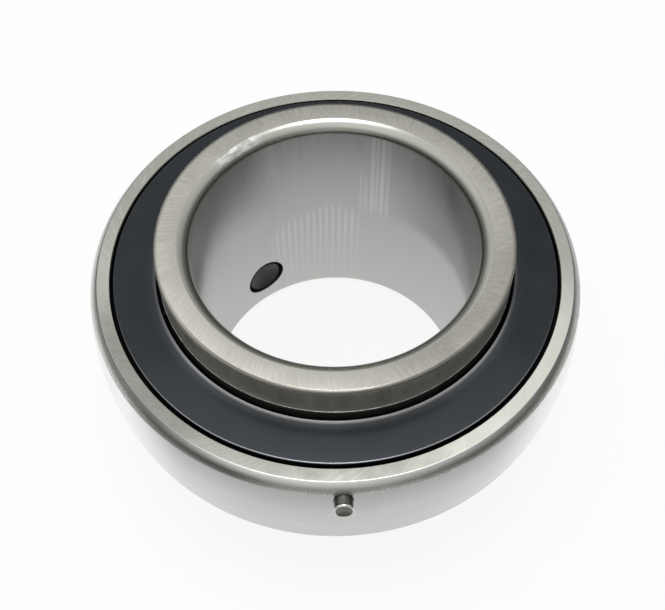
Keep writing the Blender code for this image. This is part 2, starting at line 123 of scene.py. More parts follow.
class Nodes:
    # short ways to add nodes; an input takes a plain value or another node's output

    def __init__(self, tree):
        self.tree = tree

    def put(self, socket, value):
        if isinstance(value, bpy.types.NodeSocket):
            self.tree.links.new(value, socket)
        elif value is not None:
            socket.default_value = value

    def add(self, kind, inputs=None, **settings):
        node = self.tree.nodes.new(kind)
        for label, value in settings.items():
            setattr(node, label, value)
        for label, value in (inputs or {}).items():
            self.put(node.inputs[label], value)
        return node

    def math(self, operation, *values):
        return self.add("ShaderNodeMath", dict(enumerate(values)), operation=operation).outputs[0]

    def times(self, total, *others):
        for other in others:
            total = self.math("MULTIPLY", total, other)
        return total

    def split(self, vector):
        return self.add("ShaderNodeSeparateXYZ", {0: vector}).outputs

    def combine(self, x, y, z):
        return self.add("ShaderNodeCombineXYZ", {0: x, 1: y, 2: z}).outputs[0]

    def onCircle(self, radius, angle, height):
        x = self.times(radius, self.math("COSINE", angle))
        y = self.times(radius, self.math("SINE", angle))
        return self.combine(x, y, height)

    def ramp(self, value, fromLow, fromHigh, toLow=0.0, toHigh=1.0, smooth=False):
        inputs = dict(enumerate((value, fromLow, fromHigh, toLow, toHigh)))
        kind = "SMOOTHSTEP" if smooth else "LINEAR"
        return self.add("ShaderNodeMapRange", inputs, interpolation_type=kind).outputs[0]

    def ease(self, value, *limits):
        # a ramp with soft ends
        return self.ramp(value, *limits, smooth=True)

    def noise(self, vector, scale, detail=3.0, roughness=0.5):
        inputs = {"Vector": vector, "Scale": scale, "Detail": detail, "Roughness": roughness}
        return self.add("ShaderNodeTexNoise", inputs).outputs["Fac"]

    def mapped(self, vector, scale=(1.0, 1.0, 1.0), turn=0.0, place=(0.0, 0.0, 0.0)):
        # scaled, turned about Z and moved
        inputs = {"Vector": vector, "Scale": scale, "Rotation": (0.0, 0.0, turn), "Location": place}
        return self.add("ShaderNodeMapping", inputs).outputs[0]

    def mix(self, share, first, second):
        first, second = [(*value, 1.0) if isinstance(value, tuple) else value for value in (first, second)]
        return self.add("ShaderNodeMix", {0: share, 6: first, 7: second}, data_type="RGBA").outputs[2]

    def group(self, tree, inputs=None):
        return self.add("ShaderNodeGroup", inputs, node_tree=tree).outputs


def nodeGroup(name, kind, inputs, outputs):
    # a node group whose sockets are named, each with its kind, or its kind and default
    tree = bpy.data.node_groups.new(name, kind)
    for way, sockets in (("INPUT", inputs), ("OUTPUT", outputs)):
        for label, about in sockets.items():
            about, default = about if isinstance(about, tuple) else (about, None)
            socket = tree.interface.new_socket(name=label, in_out=way, socket_type="NodeSocket" + about)
            if default is not None:
                socket.default_value = default
    return Nodes(tree), tree.nodes.new("NodeGroupInput").outputs, tree.nodes.new("NodeGroupOutput").inputs


def closeShape(nodes, geometry, material, output):
    # each geometry tree ends as plain geometry with its material
    real = nodes.add("GeometryNodeRealizeInstances", {0: geometry}).outputs[0]
    painted = nodes.add("GeometryNodeSetMaterial", {"Geometry": real, "Material": material})
    nodes.put(output["Geometry"], painted.outputs[0])
    return nodes.tree


def buildTurnedTree():
    # turns the profile about Z on a grid: each column of the grid is the profile at one angle
    nodes, given, output = nodeGroup("turnedShape", "GeometryNodeTree", {
        "Profile": "Geometry", "Points": ("Int", 2), "Segments": ("Int", 64),
        "Thread Pitch": ("Float", 1.0), "Thread Depth": ("Float", 0.0), "Material": "Material",
    }, {"Geometry": "Geometry"})
    columns = nodes.math("ADD", given["Segments"], 1)
    grid = nodes.add("GeometryNodeMeshGrid", {"Vertices X": columns, "Vertices Y": given["Points"]})
    index = nodes.add("GeometryNodeInputIndex").outputs[0]
    column = nodes.math("FLOOR", nodes.math("DIVIDE", index, given["Points"]))
    row = nodes.math("SUBTRACT", index, nodes.times(column, given["Points"]))
    turns = nodes.math("DIVIDE", column, given["Segments"])

    def fromProfile(value, kind):
        inputs = {"Geometry": given["Profile"], "Value": value, "Index": row}
        return nodes.add("GeometryNodeSampleIndex", inputs, data_type=kind).outputs["Value"]

    position = nodes.add("GeometryNodeInputPosition").outputs[0]
    x, _, z = nodes.split(fromProfile(position, "FLOAT_VECTOR"))
    threaded = nodes.add("GeometryNodeInputNamedAttribute", {"Name": "threaded"}, data_type="FLOAT")
    share = fromProfile(threaded.outputs["Attribute"], "FLOAT")

    # a V thread: the groove's depth follows the height along the screw less the part of a turn
    lead = nodes.math("SUBTRACT", nodes.math("DIVIDE", z, given["Thread Pitch"]), turns)
    depth = nodes.times(nodes.math("PINGPONG", lead, 0.5), 2.0, given["Thread Depth"], share)
    spot = nodes.onCircle(nodes.math("SUBTRACT", x, depth), nodes.times(turns, math.tau), z)
    moved = nodes.add("GeometryNodeSetPosition", {"Geometry": grid.outputs["Mesh"], "Position": spot})
    inputs = {"Geometry": moved.outputs[0], "Distance": mergeDistance}
    merged = nodes.add("GeometryNodeMergeByDistance", inputs)
    return closeShape(nodes, merged.outputs[0], given["Material"], output)


def buildPatternTree():
    # copies of one shape evenly round the Z axis, each turned with its place
    nodes, given, output = nodeGroup("ringPattern", "GeometryNodeTree", {
        "Shape": "Geometry", "Count": ("Int", 10), "Radius": ("Float", 1.0),
        "Height": ("Float", 0.0), "First Angle": ("Float", 0.0), "Material": "Material",
    }, {"Geometry": "Geometry"})
    share = nodes.math("DIVIDE", nodes.add("GeometryNodeInputIndex").outputs[0], given["Count"])
    angle = nodes.math("MULTIPLY_ADD", share, math.tau, given["First Angle"])
    spot = nodes.onCircle(given["Radius"], angle, given["Height"])
    points = nodes.add("GeometryNodePoints", {"Count": given["Count"], "Position": spot})
    copies = nodes.add("GeometryNodeInstanceOnPoints", {
        "Points": points.outputs[0], "Instance": given["Shape"], "Rotation": nodes.combine(None, None, angle),
    })
    return closeShape(nodes, copies.outputs[0], given["Material"], output)


turnedTree = buildTurnedTree()
patternTree = buildPatternTree()


# Turned shapes

def linkedObject(name, data):
    piece = bpy.data.objects.new(name, data)
    bpy.context.collection.objects.link(piece)
    return piece


def keepEvaluated(piece):
    # turns what the modifiers make into the piece's own mesh
    depsgraph = bpy.context.evaluated_depsgraph_get()
    mesh = bpy.data.meshes.new_from_object(piece.evaluated_get(depsgraph), depsgraph=depsgraph)
    mesh.name = piece.name
    piece.modifiers.clear()
    piece.data = mesh


def runTree(piece, tree, values):
    # adds the tree as a modifier, sets its inputs by identifier and keeps the result as a plain mesh
    modifier = piece.modifiers.new(tree.name, "NODES")
    modifier.node_group = tree
    for socket in tree.interface.items_tree:
        if socket.in_out == "INPUT" and socket.name in values:
            modifier[socket.identifier] = values[socket.name]
    keepEvaluated(piece)


def faceOutwards(mesh):
    shape = bmesh.new()
    shape.from_mesh(mesh)
    bmesh.ops.remove_doubles(shape, verts=shape.verts, dist=mergeDistance / 2)
    bmesh.ops.recalc_face_normals(shape, faces=shape.faces)
    shape.to_mesh(mesh)
    shape.free()


def turnedPiece(name, points, material, segments, closed=True, threaded=None, pitch=1.0, depth=0.0):
    # the profile is a line of vertices, with the threaded share of each point as an attribute
    if closed:
        points = points + points[:1]
    mesh = bpy.data.meshes.new(name)
    edges = [(i, i + 1) for i in range(len(points) - 1)]
    mesh.from_pydata([(radius, 0.0, height) for radius, height in points], edges, [])
    share = mesh.attributes.new("threaded", "FLOAT", "POINT")
    if threaded:
        share.data.foreach_set("value", threaded)
    piece = linkedObject(name, mesh)
    runTree(piece, turnedTree, {
        "Points": len(points), "Segments": segments, "Thread Pitch": pitch, "Thread Depth": depth,
        "Material": material,
    })
    faceOutwards(piece.data)
    return piece


def placeMesh(piece, matrix):
    piece.data.transform(matrix)
    if matrix.determinant() < 0:
        piece.data.flip_normals()


def settle(piece, place=None, sharpAngle=28.0):
    # smooths the piece, puts it in its place and lifts it to the balls' height
    piece.data.shade_smooth()
    piece.data.set_sharp_from_angle(angle=math.radians(sharpAngle))
    if place:
        placeMesh(piece, place)
    placeMesh(piece, Matrix.Translation((0.0, 0.0, bearing["ballPlane"])))


def radialPlace(angle, radius, height):
    # a frame at a place round the axis, with its own Z pointing outwards
    turn = Matrix.Rotation(angle, 4, "Z") @ Matrix.Rotation(quarterTurn, 4, "Y")
    spot = Vector((radius * math.cos(angle), radius * math.sin(angle), height))
    return Matrix.Translation(spot) @ turn


def roundCutter(name, radius, low, high, steps, matrix):
    # a round cutter, or one with as many sides as steps
    points = [(0.0, low), (radius, low), (radius, high), (0.0, high)]
    cutter = turnedPiece(name, points, None, steps, closed=False)
    placeMesh(cutter, matrix)
    return cutter


def cutAway(piece, cutters):
    for cutter in cutters:
        cut = piece.modifiers.new("cut", "BOOLEAN")
        cut.operation = "DIFFERENCE"
        cut.solver = "EXACT"
        cut.object = cutter
    keepEvaluated(piece)
    for cutter in cutters:
        bpy.data.objects.remove(cutter, do_unlink=True)


def insideHole(spot, place, radius, low, high):
    # whether a point lies on the wall or the end of a drilled hole
    local = place.inverted() @ spot
    return math.hypot(local.x, local.y) < radius + 0.03 * mm and low <= local.z <= high


def paintRegions(piece, regionOf):
    # gives each face the finish of its region, found from the face's middle; the small margins in each
    # regionOf only keep neighbouring faces apart
    regions = [regionOf(face.center) for face in piece.data.polygons]
    finishes = list(dict.fromkeys(regions))
    piece.data.materials.clear()
    for finish in finishes:
        piece.data.materials.append(steel[finish])
    piece.data.polygons.foreach_set("material_index", [finishes.index(region) for region in regions])


# Shader groups

def buildRingPolar():
    # where a point lies on a turned piece: radius and height over the balls in mm, and the angle
    # in degrees from the side opposite the locking pin
    nodes, _, output = nodeGroup("ringPolar", "ShaderNodeTree", {}, {
        "Radius": "Float", "Height": "Float", "Angle": "Float",
        "Spot": "Vector",
    })
    point = nodes.add("ShaderNodeTexCoord").outputs["Object"]
    toMm = (1 / mm, 1 / mm, 1 / mm)
    spot = nodes.mapped(point, toMm, -math.pi - bearing["pinAngle"], (0.0, 0.0, -bearing["ballPlane"] / mm))
    x, y, z = nodes.split(spot)
    squares = nodes.math("MULTIPLY_ADD", y, y, nodes.times(x, x))
    nodes.put(output["Radius"], nodes.math("SQRT", squares))
    nodes.put(output["Height"], z)
    nodes.put(output["Angle"], nodes.times(nodes.math("ARCTAN2", y, x), 180 / math.pi))
    nodes.put(output["Spot"], spot)
    return nodes.tree


def buildFineScratches():
    # sparse straight scratches in several directions, as thin lines
    nodes, given, output = nodeGroup("fineScratches", "ShaderNodeTree", {
        "Spot": "Vector", "Amount": ("Float", 0.5), "Spread": ("Float", 0.5),
    }, {"Mask": "Float"})
    total = None
    directions = ((14.0, 4.0), (52.0, -7.0), (97.0, 9.0), (131.0, -3.0), (163.0, 6.0))
    for number, (angle, tilt) in enumerate(directions):
        turned = nodes.mapped(given["Spot"], turn=math.radians(angle))
        long = nodes.mapped(turned, (0.16, 2.3, 0.4), math.radians(tilt))
        cells = nodes.noise(long, 1.0 + 0.17 * number, 1.0)
        line = nodes.ramp(nodes.math("ABSOLUTE", nodes.math("SUBTRACT", cells, 0.5)), 0.022, 0.0)
        patches = nodes.noise(nodes.mapped(turned, (0.23, 0.23, 0.23)), 1.0 + 0.6 * number, 1.0)
        cut = nodes.math("SUBTRACT", 0.68, nodes.times(given["Spread"], 0.3))
        line = nodes.times(line, nodes.ramp(nodes.math("SUBTRACT", patches, cut), 0.0, 0.06))
        total = line if total is None else nodes.math("MAXIMUM", total, line)
    nodes.put(output["Mask"], nodes.times(total, given["Amount"]))
    return nodes.tree


def buildTurnedLines():
    # fine lines round the axis, by radius on flat faces and by height on walls, faded along their way
    nodes, given, output = nodeGroup("turnedLines", "ShaderNodeTree", {
        "Radius": ("Float", 0.0), "Height": ("Float", 0.0), "Angle": ("Float", 0.0),
        "Fineness": ("Float", 9.0), "Length": ("Float", 20.0),
    }, {"Lines": "Float"})
    x, y = [nodes.times(given[label], given["Fineness"]) for label in ("Radius", "Height")]
    vector = nodes.combine(x, y, nodes.math("DIVIDE", given["Angle"], given["Length"]))
    nodes.put(output["Lines"], nodes.noise(vector, 1.0, 2.0, 0.6))
    return nodes.tree


def buildCrossHatch():
    # the short marks that a grinding wheel leaves across a face or up a wall
    nodes, given, output = nodeGroup("crossHatch", "ShaderNodeTree", {
        "Angle": ("Float", 0.0), "Across": ("Float", 0.0), "Lean": ("Float", 0.0),
        "Fineness": ("Float", 2.5), "Length": ("Float", 3.0),
    }, {"Lines": "Float"})
    slanted = nodes.math("MULTIPLY_ADD", given["Across"], given["Lean"], given["Angle"])
    along = nodes.math("DIVIDE", given["Across"], given["Length"])
    vector = nodes.combine(nodes.times(slanted, given["Fineness"]), along, None)
    nodes.put(output["Lines"], nodes.noise(vector, 1.0, 2.0, 0.6))
    return nodes.tree


ringPolar = buildRingPolar()
fineScratches = buildFineScratches()
turnedLines = buildTurnedLines()
crossHatch = buildCrossHatch()


# Finishes

def newMaterial(name, colour, metallic, roughness):
    material = bpy.data.materials.new(name)
    material.use_nodes = True
    material.diffuse_color = (*colour, 1.0)
    shader = material.node_tree.nodes["Principled BSDF"]
    shader.inputs["Base Color"].default_value = (*colour, 1.0)
    shader.inputs["Metallic"].default_value = metallic
    shader.inputs["Roughness"].default_value = roughness
    return material, shader


class Finish(Nodes):
    # a material in the making: where a point lies on the bearing, and the base colour so far

    def __init__(self, name, colour, metallic, roughness):
        self.material, shader = newMaterial(name, colour, metallic, roughness)
        super().__init__(self.material.node_tree)
        self.shader = shader.inputs
        self.colour, self.roughness = colour, roughness
        self.radius, self.height, self.angle, self.spot = self.group(ringPolar)

    def tone(self, share, limit=1.0):
        return tuple(min(limit, c * share) for c in self.colour)

    def start(self, share, low, high):
        # the base colour between two shares of the material's colour
        self.base = self.mix(share, self.tone(low), self.tone(high))

    def shade(self, share, amount, target):
        # moves the base colour towards a colour, or towards a share of the material's own
        target = self.tone(target) if isinstance(target, float) else target
        self.base = self.mix(self.times(share, amount), self.base, target)

    def paintSideLight(self, sides):
        # painted light and shade: sides lists where the finish is painted darker or lighter round the ring,
        # as angle, half width and gain
        for place, width, gain in sides:
            target = self.tone(1.6, 0.95) if gain > 0 else 0.3
            self.shade(self.near(place, width), abs(gain), target)

    def near(self, place, width):
        # 1 at one angle of the ring, 0 further from it than the width
        away = self.math("WRAP", self.math("SUBTRACT", self.angle, place), 180.0, -180.0)
        return self.ease(self.math("ABSOLUTE", away), width, width * 0.35)

    def band(self, value, low, high, soft):
        # 1 between two values, 0 outside, with soft ends
        rise = self.ease(value, low - soft, low + soft)
        return self.times(rise, self.ease(value, high - soft, high + soft, 1.0, 0.0))

    def spread(self, noise, contrast=1.0):
        # a noise made to fill 0 to 1
        return self.ramp(noise, 0.5 - 0.22 / contrast, 0.5 + 0.22 / contrast)

    def texture(self, scale, detail=3.0, roughness=0.5, stretch=None):
        vector = self.mapped(self.spot, stretch) if stretch else self.spot
        return self.noise(vector, scale, detail, roughness)

    def turned(self, fineness, length):
        return self.group(turnedLines, {
            "Radius": self.radius, "Height": self.height, "Angle": self.angle,
            "Fineness": fineness, "Length": length,
        })["Lines"]

    def hatched(self, across, lean, fineness, length):
        return self.group(crossHatch, {
            "Angle": self.angle, "Across": across, "Lean": lean, "Fineness": fineness, "Length": length,
        })["Lines"]

    def away(self):
        # the distance from the plane of the balls
        return self.math("ABSOLUTE", self.height)

    def rough(self, value, low, high, fromLow=0.0, fromHigh=1.0):
        return self.ramp(value, fromLow, fromHigh, self.roughness * low, self.roughness * high)

    def close(self, rough, height, strength, distance):
        # links the base colour, the roughness and the bump
        bump = self.add("ShaderNodeBump", {"Height": height, "Strength": strength, "Distance": distance})
        for label, value in (("Base Color", self.base), ("Roughness", rough), ("Normal", bump.outputs[0])):
            self.put(self.shader[label], value)
        return self.material


def faceSteel(name, colour, roughness, hatch, scratches, sides):
    # a ground flat face: cloudy patches, the wheel's marks across it and thin random scratches
    look = Finish(name, colour, 1.0, roughness)
    marks = look.spread(look.hatched(look.radius, hatch["lean"], hatch["fineness"], 4.0), 1.2)
    patches = look.spread(look.texture(0.21, 2.0), 1.5)
    lines = look.group(fineScratches, {"Spot": look.spot, "Amount": scratches, "Spread": 0.6})["Mask"]
    strokes = look.ramp(look.hatched(look.radius, hatch["strokeLean"], 1.3, 16.0), 0.54, 0.66)
    look.start(look.spread(look.texture(0.11, 3.0, 0.55)), 0.96, 1.05)
    look.shade(marks, hatch["amount"], 0.58)
    look.shade(look.times(strokes, patches), hatch["strokes"], (0.85, 0.84, 0.79))
    look.shade(look.texture(2.6, 2.0, 0.6), 0.10, 0.7)
    # painted light and shade round the ring
    look.paintSideLight(sides)
    look.shade(lines, 0.7, (0.90, 0.89, 0.84))
    height = look.math("ADD", marks, look.times(lines, -1.0))
    return look.close(look.rough(patches, 0.82, 1.18), height, 0.16, 0.012 * mm)


def edgeSteel(name, colour, roughness, sides):
    # the rolled edge between face and ball-shaped outside: mottled, with turned lines, a painted highlight
    # on the top in front and a painted shade line at the top on the left
    look = Finish(name, colour, 1.0, roughness)
    mottle = look.texture(2.6, 3.0, 0.65)
    patches = look.spread(look.texture(0.12, 2.0), 1.6)
    pits = look.times(look.ramp(mottle, 0.50, 0.66), look.ramp(patches, 0.0, 1.0, 0.35, 1.0))
    turned = look.turned(5.0, 9.0)
    away = look.away()
    low = look.ramp(away, 10.8, 9.1)
    look.start(look.spread(turned), 0.90, 1.08)
    look.shade(look.times(pits, low), 0.75, 0.42)
    look.shade(low, 0.25, 0.5)
    look.shade(look.ramp(mottle, 0.44, 0.32), 0.6, (0.86, 0.85, 0.82))
    # painted light and shade round the ring
    look.paintSideLight(sides)
    # painted highlight: the top of the edge is lighter in front
    look.shade(look.times(look.ramp(away, 9.9, 10.5), look.near(-176.0, 62.0)), 0.8, (0.96, 0.95, 0.91))
    # painted shade: a dark line at the top on the left
    look.shade(look.times(look.ramp(away, 10.75, 10.92), look.near(100.0, 62.0)), 0.62, 0.3)
    height = look.math("MULTIPLY_ADD", mottle, 1.4, turned)
    return look.close(look.rough(pits, 1.0, 1.5), height, 0.5, 0.02 * mm)


def sphereSteel(name, colour, roughness, sides):
    # the ball-shaped outside: neutral satin with a faint curved hatch and soft smudges
    look = Finish(name, colour, 1.0, roughness)
    marks = look.hatched(look.height, 1.4, 1.6, 7.0)
    turned = look.turned(4.0, 25.0)
    smudges = look.spread(look.texture(0.10))
    look.start(smudges, 0.96, 1.04)
    look.shade(look.spread(marks), 0.12, 0.6)
    look.shade(look.spread(turned), 0.08, 0.72)
    # painted shade: darker towards the edges above and below
    look.shade(look.ramp(look.away(), 3.0, 9.0), 0.36, 0.3)
    # painted light and shade round the ring
    look.paintSideLight(sides)
    return look.close(look.rough(smudges, 0.9, 1.12), look.math("ADD", marks, turned), 0.08, 0.01 * mm)


def boreSteel(name, colour, roughness, marks):
    # the honed bore: arcs round the axis, light chatter marks along it, painted shade towards the mouth and
    # on both sides, and light bands and streaks as painted reflections
    look = Finish(name, colour, 1.0, roughness)
    look.put(look.shader["Anisotropic"], 0.55)
    look.put(look.shader["Anisotropic Rotation"], 0.25)
    bright = (0.80, 0.79, 0.79)
    angle, height = look.angle, look.height
    aside = look.math("ABSOLUTE", angle)
    arcs = look.turned(3.2, 30.0)
    smudges = look.spread(look.texture(0.09))

    # the comb of chatter marks ends along a line and fades down the bore
    wander = look.times(look.texture(0.05, 1.0), 5.0)
    wave = look.math("SINE", look.math("MULTIPLY_ADD", angle, math.tau / marks["pitch"], wander))
    top = look.math("MULTIPLY_ADD", aside, -0.19, marks["top"])
    comb = look.times(
        look.ease(look.math("SUBTRACT", height, top), -2.0, 1.0, 1.0, 0.0),
        look.ramp(height, -26.0, -10.0, 0.25, 1.0),
        look.band(angle, marks["from"], marks["to"], 2.0),
        look.ease(wave, -0.5, 1.0),
    )

    # painted reflections: single light bands, broken into fine lines, and faint light streaks near the mouth
    fine = look.spread(look.texture(3.2, 2.0, 0.6, (1.0, 1.0, 0.01)))
    fine = look.ramp(fine, 0.0, 1.0, 0.35, 1.0)
    light = None
    for place, width, low, high, gain in marks["bands"]:
        off = look.math("ABSOLUTE", look.math("SUBTRACT", angle, place))
        ray = look.times(
            look.ease(off, width, width * 0.35, 0.0, gain),
            look.ease(height, low - 1.5, low + 3.0),
            look.ease(height, high + 3.0, high - 3.0),
            fine,
        )
        light = ray if light is None else look.math("MAXIMUM", light, ray)
    # painted reflection streaks
    streaks = look.spread(look.texture(1.1, 3.0, 0.65, (1.0, 1.0, 0.02)))
    streaks = look.times(streaks, look.ease(height, 0.0, 14.0, 0.15, 1.0))

    # painted shade: darker towards the mouth
    look.start(look.ramp(height, -30.0, 17.0), marks["foot"], marks["mouth"])
    look.shade(look.spread(arcs), 0.10, 0.7)
    for share, amount in ((smudges, 0.06), (comb, marks["gain"]), (streaks, 0.13), (light, 1.0)):
        look.shade(share, amount, bright)

    # painted shade: both sides are darker over a line round the bore, which lies lower on the right
    lowEdge, highEdge = [look.ramp(angle, -20.0, 30.0, *marks[label]) for label in ("darkFrom", "darkTo")]
    over = look.ease(height, lowEdge, highEdge)
    side = look.ease(aside, 14.0, 62.0)
    side = look.times(side, look.ease(aside, 120.0, 170.0, 1.0, 0.0))
    look.shade(look.times(over, side), marks["dark"], (0.10, 0.095, 0.085))
    return look.close(look.rough(smudges, 0.9, 1.1), arcs, 0.10, 0.02 * mm)


def wallSteel(name, colour, roughness):
    # the inner ring's outside: broad brownish streaks up the wall and painted shade beside the flinger
    look = Finish(name, colour, 0.45, roughness)
    streaks = look.texture(0.45, 1.0, 0.5, (1.0, 1.0, 0.08))
    turned = look.turned(3.5, 25.0)
    look.start(look.spread(streaks, 0.8), 0.85, 1.25)
    look.shade(look.spread(look.texture(0.30, 3.0, 0.6)), 0.35, (0.34, 0.32, 0.275))
    look.shade(look.spread(turned), 0.15, 0.6)
    # painted shade: nearly black below the seat's top, beside the flinger
    look.shade(look.ramp(look.away(), 12.88, 12.8), 0.92, (0.010, 0.010, 0.010))
    return look.close(look.rough(streaks, 0.8, 1.25, 0.3, 0.7), turned, 0.05, 0.02 * mm)


def mouthSteel(name, colour, roughness, nick, sides):
    # the rounded mouth of the bore, with one real bruised stretch painted white as a highlight, and two
    # stretches of painted shade
    look = Finish(name, colour, 1.0, roughness)
    turned = look.turned(4.0, 30.0)
    bruiseAndGlint = look.times(
        look.ramp(look.turned(1.3, 4.0), 0.42, 0.62),
        look.band(look.angle, nick["from"], nick["to"], 3.0),
        look.ramp(look.height, 17.6, 18.2),
    )
    look.start(look.spread(turned), 0.94, 1.05)
    # painted shade round the ring
    look.paintSideLight(sides)
    # painted highlight: the bruise is painted white
    look.shade(bruiseAndGlint, 0.66, (1.0, 1.0, 1.0))
    height = look.math("MULTIPLY_ADD", bruiseAndGlint, 2.0, turned)
    return look.close(look.rough(bruiseAndGlint, 1.0, 1.25), height, 0.12, 0.03 * mm)


def blackOxide(name, colour, metallic, roughness, speckAmount, paintedEdgeHighlights=(), front=0.0):
    # painted highlights on the edges, lighter only in front, are given as the radii in mm where each starts
    # and is full, its share and its colour
    look = Finish(name, colour, metallic, roughness)
    clouds = look.texture(0.12)
    look.start(look.ramp(clouds, 0.3, 0.7), 0.88, 1.16)
    look.shade(look.ramp(look.texture(3.4, 1.0), 0.70, 0.86), speckAmount, (0.35, 0.35, 0.34))
    # painted light: lighter in front
    look.shade(look.near(180.0, 80.0), front, 2.2)
    # the painted highlights fade away from the front
    ahead = look.ramp(look.near(180.0, 78.0), 0.0, 1.0, 0.10, 1.0)
    for start, full, share, highlightColour in paintedEdgeHighlights:
        edgeHighlight = look.ease(look.radius, start, full)
        look.shade(look.times(edgeHighlight, ahead), share, highlightColour)
    if paintedEdgeHighlights:  # the side below the top stays dark
        # painted shade: the side below the top is painted dark
        look.shade(look.ramp(look.away(), 11.10, 11.00), 0.9, (0.003, 0.003, 0.003))
    rough = look.rough(clouds, 0.9, 1.1, 0.3, 0.7)
    return look.close(rough, look.texture(5.0, 3.0, 0.6), 0.12, 0.02 * mm)


def plainFinish(name, colour, metallic, roughness, grain, contrast=0.2):
    look = Finish(name, colour, metallic, roughness)
    texture = look.texture(grain, 3.0, 0.6)
    look.start(look.spread(texture) if contrast > 0.3 else texture, 1 - contrast, 1 + contrast)
    return look.close(look.rough(texture, 0.85, 1.15, 0.3, 0.7), texture, 0.1, 0.02 * mm)


boreMarksAndLight = {
    "pitch": 3.05,  # degrees from one chatter mark to the next
    "from": -13.0,
    "to": 30.0,
    "top": -3.5,
    "gain": 0.20,
    # the bands are painted reflections on the bore
    "bands": (  # angle, half width, lower and upper end, gain
        (-13.6, 0.9, -6.0, 8.0, 0.20), (-15.8, 0.9, -6.0, 5.0, 0.24), (-18.9, 1.2, -6.0, 20.0, 0.36),
        (-21.0, 0.9, -6.0, 20.0, 0.28), (-23.4, 1.3, -6.0, 20.0, 0.42), (-26.0, 1.3, -6.0, 20.0, 0.30),
        (27.5, 3.2, 7.0, 20.0, 0.16),
    ),
    # painted shade: the share of the colour at the foot and at the mouth of the bore
    "foot": 1.18,
    "mouth": 0.84,
    # painted shade on both sides of the bore: its amount and the heights where it starts and is full
    "dark": 0.50,
    "darkFrom": (-7.5, -4.0),  # on the right, on the left
    "darkTo": (-2.5, 9.0),
}

# The lean and fineness of the wheel's marks and of the longer strokes, and how much of each shows
hatches = {
    "outerFace": {"lean": 1.6, "fineness": 2.4, "amount": 0.38, "strokeLean": 2.2, "strokes": 0.30},
    "innerFace": {"lean": -0.3, "fineness": 2.2, "amount": 0.55, "strokeLean": -1.5, "strokes": 0.34},
    "bevel": {"lean": 0.2, "fineness": 2.4, "amount": 0.3, "strokeLean": 0.5, "strokes": 0.2},
}

# Painted light and shade on each finish, darker or lighter round the ring: angle, half width and gain
paintedSideLight = {
    "outerFace": ((126.0, 34.0, -0.58), (-131.0, 44.0, 0.70), (55.0, 36.0, -0.22), (180.0, 34.0, -0.12)),
    "innerFace": ((150.0, 62.0, 0.30), (-126.0, 50.0, -0.26), (0.0, 75.0, -0.26)),
    "bevel": ((180.0, 80.0, -0.95),),
    "edge": ((146.0, 24.0, -0.72), (-138.0, 20.0, -0.24), (98.0, 30.0, 0.5), (-85.0, 40.0, -0.25)),
    "sphere": ((180.0, 45.0, -0.16), (110.0, 36.0, 0.85), (-110.0, 38.0, 0.8)),
    "mouth": ((-62.0, 60.0, -0.32), (105.0, 50.0, -0.12)),
}

# painted highlights in front: on the lip beside the hole and on the outer rim
flingerHighlights = (
    (34.4, 32.5, 0.50, (0.15, 0.155, 0.165)),
    (32.9, 32.25, 1.0, (0.50, 0.505, 0.52)),
    (39.46, 39.56, 1.0, (0.30, 0.305, 0.32)),
)

steel = {
    "turned": plainFinish("turnedSteel", (0.50, 0.49, 0.47), 1.0, 0.30, 0.9),
    "raceway": plainFinish("racewaySteel", (0.62, 0.61, 0.60), 1.0, 0.12, 0.4),
    # the drilled holes' walls: dark scale, darkened further as painted shade
    "hole": plainFinish("holeScale", (0.078, 0.070, 0.062), 0.6, 0.5, 1.2, 0.4),
    # the seat's top edge: a real step, painted lighter as a reflection of the flinger's lit edge
    "seatLine": plainFinish("seatLineSteel", (0.38, 0.37, 0.345), 1.0, 0.30, 0.9, 0.6),
    "bevel": faceSteel("bevelSteel", (0.50, 0.485, 0.43), 0.30, hatches["bevel"], 0.1, paintedSideLight["bevel"]),
    "outerFace": faceSteel("outerFaceSteel", (0.55, 0.545, 0.495), 0.25, hatches["outerFace"], 0.15,
                           paintedSideLight["outerFace"]),
    "innerFace": faceSteel("innerFaceSteel", (0.575, 0.565, 0.505), 0.25, hatches["innerFace"], 0.2,
                           paintedSideLight["innerFace"]),
    "edge": edgeSteel("outerEdgeSteel", (0.56, 0.555, 0.53), 0.30, paintedSideLight["edge"]),
    "sphere": sphereSteel("sphereSteel", (0.60, 0.595, 0.59), 0.22, paintedSideLight["sphere"]),
    "bore": boreSteel("boreSteel", (0.42, 0.417, 0.412), 0.30, boreMarksAndLight),
    "mouth": mouthSteel("mouthSteel", (0.53, 0.525, 0.475), 0.24, {"from": 31.0, "to": 51.0},
                        paintedSideLight["mouth"]),
    "wall": wallSteel("innerWallSteel", (0.205, 0.195, 0.17), 0.30),
    "scale": plainFinish("scaleSteel", (0.05, 0.048, 0.045), 0.7, 0.42, 1.5),
    "ball": plainFinish("ballSteel", (0.74, 0.74, 0.75), 1.0, 0.07, 0.5),
    "cage": plainFinish("cageSteel", (0.48, 0.47, 0.45), 1.0, 0.38, 1.2),
    "rivet": plainFinish("rivetSteel", (0.50, 0.49, 0.47), 1.0, 0.36, 1.5),
    "plate": plainFinish("zincPlate", (0.50, 0.51, 0.52), 1.0, 0.34, 0.8),
    "pin": plainFinish("pinSteel", (0.16, 0.155, 0.145), 1.0, 0.34, 2.6),
    "pinRim": plainFinish("pinRimSteel", (0.62, 0.61, 0.58), 1.0, 0.26, 2.0),
    "flinger": blackOxide("flingerBlack", (0.030, 0.034, 0.038), 0.85, 0.25, 0.25, flingerHighlights, 0.45),
    "screw": blackOxide("screwBlack", (0.044, 0.041, 0.041), 0.7, 0.42, 0.3),
    "gap": plainFinish("gapGrime", (0.006, 0.006, 0.006), 0.0, 0.8, 1.0),
    "rubber": plainFinish("lipRubber", (0.018, 0.018, 0.019), 0.0, 0.65, 1.0),
}
